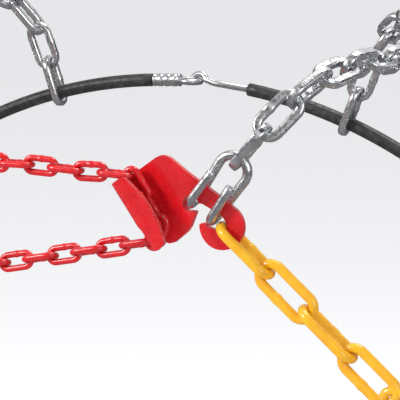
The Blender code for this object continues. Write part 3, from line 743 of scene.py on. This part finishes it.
def cross_chain(node, hook_angle, side, angles, ring):
    """The links, rings and hook that one CAD bar stands for."""
    shapes = []
    row_radius, row_y = SHOULDER[JUNCTION]
    junction = on_wheel(row_radius - JUNCTION_DROP, hook_angle, side * (row_y + JUNCTION_PROUD))
    out = on_wheel(0.6, hook_angle, side * 0.8).normalized()
    outer = side < 0
    radial = on_wheel(1, hook_angle, 0)
    round_wheel = radial.cross(OUT)
    if outer:
        origin = on_wheel(SIDE_RADIUS + HOOK_STAND_OFF, hook_angle, SIDE_Y)
        shapes.append(path_wire(double_hook_path(origin, radial, -round_wheel), HOOK_WIRE / 2, 12))
        foot_radius = SIDE_RADIUS + HOOK_STAND_OFF + HOOK_LENGTH - HOOK_BEND
        foot = on_wheel(foot_radius, hook_angle, SIDE_Y + HOOK_BEND)
        grip = HOOK_WIRE
    else:
        foot = on_wheel(CABLE_RING_RADIUS, hook_angle, CABLE_Y)
        grip = 2 * CABLE_RADIUS
    reach = CROSS_WIRE + GAP
    if len(angles) == 2:
        shapes.append(ring_shape(junction, out, JUNCTION_RING_RADIUS, RING_WIRE))
        for angle in angles:
            corners = over_tire(hook_angle, angle, JUNCTION, side)
            corners[0] = junction
            path = softened(fine_path(corners), 31)
            path = between_rings(path, JUNCTION_RING_RADIUS, RING_RADIUS)
            meetings = fitted_walk(path, CROSS_PITCH, reach)
            shapes += run_of_links(meetings, True, CROSS_WIRE, CROSS_WIDTH, over_tire_face,
                                   (RING_WIRE, RING_WIRE), True, seed=int(abs(angle)) % 17)
        top = junction - (junction - foot).normalized() * JUNCTION_RING_RADIUS
        path = fine_path([foot, top])
    else:
        corners = [foot] + over_tire(hook_angle, angles[0], 1, side)
        path = between_rings(softened(fine_path(corners), 41), 0, RING_RADIUS)
    meetings = fitted_walk(path, CROSS_PITCH, reach)
    shapes += run_of_links(meetings, True, CROSS_WIRE, CROSS_WIDTH, over_tire_face, (grip, RING_WIRE), True)
    if ring is not None:
        centre = on_wheel(SHOULDER[-1][0], ring, 0)
        shapes.append(ring_shape(centre, centre, RING_RADIUS, RING_WIRE))
    settle(add_mesh(f"{node}_links", shapes, ZINC), "zinc_plate", node)


def far_cross_chains():
    """Every cross chain but the one whose links are single, outer and inner halves apart."""
    for number in range(1, HOOKS - 1):
        angles = (NODE_ANGLES[number - 1], NODE_ANGLES[number])
        cross_chain(f"outer_cross_{number + 1}", HOOK_ANGLES[number], -1, angles, None)
        cross_chain(f"inner_cross_{number + 1}", HOOK_ANGLES[number], 1, angles, angles[0])
    last = NODE_ANGLES[-1]
    cross_chain(f"outer_cross_{HOOKS}", HOOK_ANGLES[-1], -1, (last,), None)
    cross_chain(f"inner_cross_{HOOKS}", HOOK_ANGLES[-1] - INNER_END_LAG, 1, (last,), last)
    cross_chain("inner_cross_1", HOOK_ANGLES[0] + INNER_END_LAG, 1, (NODE_ANGLES[0],), None)


def after_link(node, wire, towards, wraps):
    """The meeting past a single link, on the side of 'towards'."""
    centre, outer, along, _ = link_place(node)
    if (Vector(towards) - centre).dot(along) < 0:
        along = -along
    reach = wire + GAP if wraps else 0
    return centre + along * ((outer - wire) / 2 - reach)


def rest_of_first_cross_chain():
    """The one link between the single links and the first tread ring."""
    ring = on_wheel(SHOULDER[-1][0], NODE_ANGLES[0], 0)
    start = after_link("cross_link_7", CROSS_WIRE, ring, True)
    path = between_rings(fine_path([start, ring]), 0, RING_RADIUS)
    length = float(np.linalg.norm(path[-1] - path[0]))
    along = (Vector(path[-1]) - Vector(path[0])).normalized()
    reach_end = (CROSS_WIRE + RING_WIRE) / 2 + GAP
    side = over_tire_face(start, ring).cross(along).normalized()
    shape = link_shape(length + reach_end, CROSS_WIDTH, CROSS_WIRE, True, True, 8)
    centre = (Vector(path[0]) + Vector(path[-1])) / 2 + along * reach_end / 2
    piece = add_mesh("cross_chain_1_rest_links", [placed(shape, centre, along, side)], ZINC)
    settle(piece, "zinc_plate", "cross_chain_1_rest")


def rest_of_side_chain():
    """The side chain's links after its single ones, from hook to hook round the wheel."""
    corners = [on_wheel(SIDE_RADIUS, angle, SIDE_Y) for angle in HOOK_ANGLES]
    start = after_link("side_link_4", SIDE_WIRE, corners[1], True)
    path = fine_path([start] + corners[1:])
    reach = SIDE_WIRE + GAP
    count = SIDE_LINKS_PER_BAY * (HOOKS - 1) - 4
    meetings = filled(path, count, reach, False, 0.5 * SIDE_PITCH, 2 * SIDE_PITCH)
    shapes = run_of_links(meetings, False, SIDE_WIRE, SIDE_WIDTH, outward, (SIDE_WIRE, SIDE_WIRE))
    settle(add_mesh("side_chain_rest_links", shapes, YELLOW), "yellow_coating", "side_chain_rest")


def tension_rest(name, last_link, wraps_last, end, end_wire, roll):
    """The links past one of the tension chain's runs of single links."""
    start = after_link(last_link, TENSION_WIRE, end[0], wraps_last)
    path = softened(fine_path([start] + end), 61)
    reach = TENSION_WIRE + GAP
    total = np.linalg.norm(np.diff(path, axis=0), axis=1).sum()
    wraps_first = not wraps_last
    count = int(round(total / TENSION_PITCH))
    if (count % 2 == 1) != wraps_first:
        count += 1
    meetings = filled(path, count, reach, wraps_first, 0.5 * TENSION_PITCH, 2 * TENSION_PITCH)
    shapes = run_of_links(meetings, wraps_first, TENSION_WIRE, TENSION_WIDTH, outward,
                          (TENSION_WIRE, end_wire), roll=roll)
    settle(add_mesh(f"{name}_links", shapes, RED), "red_paint", name)


# ---------------------------------------------------------------- inner cable, its fittings and the end hook

def ferrule(start, end, radius, rings):
    """A crimped sleeve: a tube with rolled ends and rows of crimp marks."""
    start, end = Vector(start), Vector(end)
    count = 60
    along = (end - start).normalized()
    centres, radii = [], []
    for step in range(count + 1):
        share = step / count
        edge = min(share, 1 - share) * (end - start).length
        size = radius - 0.0007 * max(0, 1 - edge / 0.0007) ** 2
        size -= 0.0005 * max(0, math.sin(share * rings * 2 * math.pi - math.pi / 2)) ** 2
        centres.append(tuple(start.lerp(end, share)))
        radii.append(size)
    side = along.orthogonal().normalized()
    across = np.tile(np.array(tuple(side)), (count + 1, 1))
    up = np.tile(np.array(tuple(along.cross(side))), (count + 1, 1))
    return sweep(np.array(centres), across, up, np.array(radii), ring_section(24, False), False,
                 np.full(count + 1, 0.2))


def inner_cable():
    """The coated cable on the inner side, its ferrules, and the hook and eye that close it."""
    closing = (HOOK_ANGLES[0] + HOOK_ANGLES[-1] + 360) / 2
    span = 360 - 2 * CABLE_END_ANGLE
    count = 260
    ring = [on_wheel(CABLE_RING_RADIUS, closing + CABLE_END_ANGLE + span * step / count, CABLE_Y)
            for step in range(count + 1)]
    cable = add_mesh("inner_cable_coated", [path_wire(ring, CABLE_RADIUS, 20)], CABLE)
    settle(cable, "coated_cable", "inner_cable")

    centre = on_wheel(CABLE_RING_RADIUS, closing, CABLE_Y)
    out = centre.normalized()
    across = Vector((0, 1, 0))
    along = out.cross(across)
    fitting = CABLE_END_ANGLE - math.degrees(GAP / CABLE_RING_RADIUS)
    start = on_wheel(CABLE_RING_RADIUS, closing + fitting, CABLE_Y)
    mouth = centre + along * (EYE_PLACE + EYE_RADIUS)
    turns = [2 * math.pi * step / 40 for step in range(40)]
    eye_centre = centre + along * EYE_PLACE
    eye = [eye_centre + EYE_RADIUS * (math.cos(a) * along + math.sin(a) * across) for a in turns]
    shapes = [ferrule(start, mouth, CABLE_RADIUS, 4), path_wire(eye, FITTING_WIRE / 2, 16, True)]
    settle(add_mesh("cable_eye_crimped", shapes, CABLE_ZINC), "zinc_plate", "cable_eye")

    hook = [on_wheel(CABLE_RING_RADIUS, closing - fitting, CABLE_Y)]
    hook.append(centre - along * 2 * CABLE_HOOK_RADIUS)
    middle = centre + along * CABLE_HOOK_PLACE
    for step in range(25):
        angle = math.radians(20 + 180 * step / 24)
        hook.append(middle + CABLE_HOOK_RADIUS * (-math.cos(angle) * along + math.sin(angle) * out))
    shapes = [path_wire(rounded_path(hook, 0.0012), FITTING_WIRE / 2, 16)]
    settle(add_mesh("cable_hook_bent", shapes, CABLE_ZINC), "zinc_plate", "cable_hook")


def rounded_path(points, radius):
    """The path with each corner cut by a short curve."""
    found = [Vector(points[0])]
    for before, here, after in zip(points, points[1:], points[2:]):
        before, here, after = Vector(before), Vector(here), Vector(after)
        a = here + (before - here).normalized() * min(radius, (before - here).length / 2)
        b = here + (after - here).normalized() * min(radius, (after - here).length / 2)
        for share in (0, 0.25, 0.5, 0.75, 1):
            place = a.lerp(here, share).lerp(here.lerp(b, share), share)
            if (place - found[-1]).length > 0.00004:
                found.append(place)
    found.append(Vector(points[-1]))
    return found


def end_hook():
    """The tension chain's hook: a straight stem and a curl over the side chain."""
    near, far = (on_wheel(SIDE_RADIUS, HOOK_ANGLES[number], SIDE_Y) for number in (-2, -3))
    grip = near.lerp(far, END_HOOK_SHARE)
    inward = after_link("tension_lower_7", TENSION_WIRE, grip, False) - grip
    inward.y = 0
    inward.normalize()
    curl_radius = SIDE_WIRE / 2 + END_HOOK_WIRE / 2 + END_HOOK_SLACK
    stem = grip + inward * (curl_radius + END_HOOK_STEM)
    points = [stem]
    for step in range(31):
        angle = math.radians(-30 + 230 * step / 30)
        points.append(grip + curl_radius * (math.cos(angle) * inward + math.sin(angle) * OUT))
    shape = path_wire(rounded_path(points, 0.002), END_HOOK_WIRE / 2, 18)
    piece = add_mesh("end_hook_bent", [shape], HOOK_ZINC)
    settle(piece, "zinc_plate", "end_hook")


# ---------------------------------------------------------------- stage

def area_light(name, place, target, size, power, colour):
    """A square light that looks at 'target'."""
    light = bpy.data.lights.new(name, "AREA")
    light.energy = power
    light.size = size
    light.color = colour
    obj = bpy.data.objects.new(name, light)
    obj.location = place
    obj.rotation_euler = (Vector(target) - Vector(place)).to_track_quat("-Z", "Y").to_euler()
    bpy.context.scene.collection.objects.link(obj)


def studio():
    bpy.context.scene.view_settings.view_transform = "Standard"
    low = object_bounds()[0]
    mesh = bpy.data.meshes.new("floor")
    reach = 30.0
    turns = ((-1, -1), (1, -1), (1, 1), (-1, 1))
    corners = [(x * reach, y * reach, low[2]) for x, y in turns]
    mesh.from_pydata(corners, [], [(0, 1, 2, 3)])
    floor = bpy.data.objects.new("floor", mesh)
    bpy.context.scene.collection.objects.link(floor)
    pale = bpy.data.materials.new("floor_paper")
    pale.use_nodes = True
    paper = pale.node_tree.nodes["Principled BSDF"]
    paper.inputs["Roughness"].default_value = 0.9
    paper.inputs["Emission Color"].default_value = (1, 1, 1, 1)
    # The floor is pale where seen and dark where reflected: a painted dark reflection that puts dark edges on the
    # metal.
    ray = pale.node_tree.nodes.new("ShaderNodeLightPath")
    for socket, seen, reflected in (("Base Color", (0.86, 0.86, 0.87, 1), (0.16, 0.16, 0.17, 1)),):
        choice = pale.node_tree.nodes.new("ShaderNodeMix")
        choice.data_type = "RGBA"
        choice.inputs[6].default_value = seen
        choice.inputs[7].default_value = reflected
        pale.node_tree.links.new(ray.outputs["Is Glossy Ray"], choice.inputs["Factor"])
        pale.node_tree.links.new(choice.outputs[2], paper.inputs[socket])
    glow = pale.node_tree.nodes.new("ShaderNodeMapRange")
    glow.inputs["To Min"].default_value = 0.0
    glow.inputs["To Max"].default_value = 0.30
    pale.node_tree.links.new(ray.outputs["Is Camera Ray"], glow.inputs["Value"])
    pale.node_tree.links.new(glow.outputs["Result"], paper.inputs["Emission Strength"])
    mesh.materials.append(pale)
    floor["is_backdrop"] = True

    world = bpy.data.worlds.new("studio")
    bpy.context.scene.world = world
    world.use_nodes = True
    tree = world.node_tree
    background = tree.nodes["Background"]
    # Glossy rays see dark and bright noise patches, painted reflections that give the metal contrast; other rays
    # see an even pale grey.
    place = tree.nodes.new("ShaderNodeTexCoord")
    reflection_patches = tree.nodes.new("ShaderNodeTexNoise")
    reflection_patches.inputs["Scale"].default_value = 1.9
    reflection_patches.inputs["Detail"].default_value = 1.0
    tree.links.new(place.outputs["Generated"], reflection_patches.inputs["Vector"])
    edges = tree.nodes.new("ShaderNodeMapRange")
    edges.interpolation_type = "SMOOTHSTEP"
    for key, number in zip(("From Min", "From Max", "To Min", "To Max"), (0.47, 0.56, 0.02, 1.1)):
        edges.inputs[key].default_value = number
    tree.links.new(reflection_patches.outputs["Fac"], edges.inputs["Value"])
    kind_of_ray = tree.nodes.new("ShaderNodeLightPath")
    reflected = tree.nodes.new("ShaderNodeMix")
    reflected.data_type = "RGBA"
    reflected.inputs[6].default_value = (0.80, 0.81, 0.83, 1)
    tree.links.new(kind_of_ray.outputs["Is Glossy Ray"], reflected.inputs["Factor"])
    tree.links.new(edges.outputs["Result"], reflected.inputs[7])
    tree.links.new(reflected.outputs[2], background.inputs["Color"])
    backdrop = tree.nodes.new("ShaderNodeMapRange")
    backdrop.inputs["To Min"].default_value = 0.72
    backdrop.inputs["To Max"].default_value = 1.15
    tree.links.new(kind_of_ray.outputs["Is Camera Ray"], backdrop.inputs["Value"])
    tree.links.new(backdrop.outputs["Result"], background.inputs["Strength"])

    area_light("key", (-1.25, -1.35, 1.15), (0.1, -0.1, 0.2), 0.55, 30, (1.0, 0.99, 0.97))
    area_light("fill", (1.7, -1.2, 0.7), (0.1, -0.1, 0.2), 0.9, 9, (0.96, 0.98, 1.0))
    area_light("top", (0.3, 0.5, 1.9), (0.1, 0, 0.2), 0.8, 22, (1, 1, 1))


def camera():
    """The photograph's angle."""
    data = bpy.data.cameras.new("camera")
    data.sensor_width = 36
    data.lens = 206.34
    data.clip_end = 100
    obj = bpy.data.objects.new("camera", data)
    look = Vector((-0.3689, 0.9171, -0.1512)).normalized()
    right = look.cross(Vector((0, 0, 1))).normalized()
    turn = Matrix((right, right.cross(look), -look)).transposed().to_4x4()
    obj.matrix_world = Matrix.Translation((0.4465, -0.9638, 0.3654)) @ turn
    bpy.context.scene.collection.objects.link(obj)
    bpy.context.scene.camera = obj


camera()
lock_plate()
plate_hook()
single_links("side_link", 4, SIDE_WIRE, SIDE_WIDTH, YELLOW, "yellow_coating")
single_links("cross_link", 7, CROSS_WIRE, CROSS_WIDTH, ZINC, "zinc_plate", True)
single_links("tension_upper", 5, TENSION_WIRE, TENSION_WIDTH, RED, "red_paint")
single_links("tension_plate", 4, TENSION_WIRE, TENSION_WIDTH, RED, "red_paint")
single_links("tension_lower", 7, TENSION_WIRE, TENSION_WIDTH, RED, "red_paint")
rest_of_first_cross_chain()
rest_of_side_chain()
far_cross_chains()
near_end = on_wheel(SIDE_RADIUS, HOOK_ANGLES[-1], SIDE_Y)
upper_middle = on_wheel(UPPER_RUN_RADIUS, UPPER_RUN_ANGLE, SIDE_Y)
upper_stop = near_end + (upper_middle - near_end).normalized() * (SIDE_WIRE / 2 + 0.001)
tension_rest("tension_upper_rest", "tension_upper_5", True, [upper_middle, upper_stop], SIDE_WIRE, 0)
lower_low, lower_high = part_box("tension_lower_rest")
stem = Vector((lower_low[0] + 0.001, (lower_low[1] + lower_high[1]) / 2, lower_low[2] + 0.001))
tension_rest("tension_lower_rest", "tension_lower_7", False, [stem], END_HOOK_WIRE, 14)
end_hook()
inner_cable()
studio()
